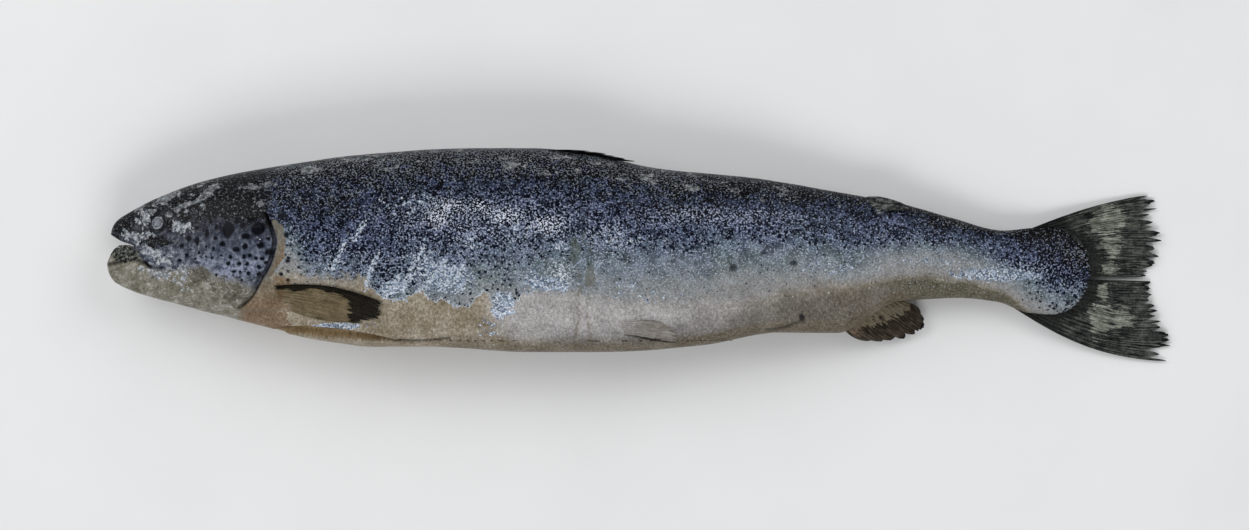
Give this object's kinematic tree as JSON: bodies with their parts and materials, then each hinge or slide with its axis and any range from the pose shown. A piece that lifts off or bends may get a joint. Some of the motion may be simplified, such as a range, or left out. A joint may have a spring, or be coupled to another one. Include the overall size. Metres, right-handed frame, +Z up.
{
  "type": "whole raw fish",
  "caption": "Whole raw salmon, gutted, lying on its right side with the head to -X, the back to +Y and every fin folded or spread as it lay.",
  "frame": {"origin": "centre of the fish seen from above, on the surface it lies on", "axes": "+X from the snout to the tail, +Y from the belly to the back, +Z up through the left flank, which is the side that shows"},
  "size_m": [0.7004, 0.1402, 0.0715],
  "materials": {
    "skin": "wet scaled fish skin, charcoal back with black speckles, blue-grey flank turning silver, glossy under thin slime",
    "head_skin": "smooth wet head skin, black on top, grey-blue gill cover with round black spots, pale olive throat",
    "fin": "thin dark rayed fin membrane, olive-black with paler patches, frayed at the tips, wet",
    "eye": "clouded grey eye with a darker pupil, wet",
    "flesh": "moist ochre flesh inside the belly cut, the gill slit and the mouth"
  },
  "bodies": {
    "root": {"fish": "skin"}
  },
  "joints": []
}
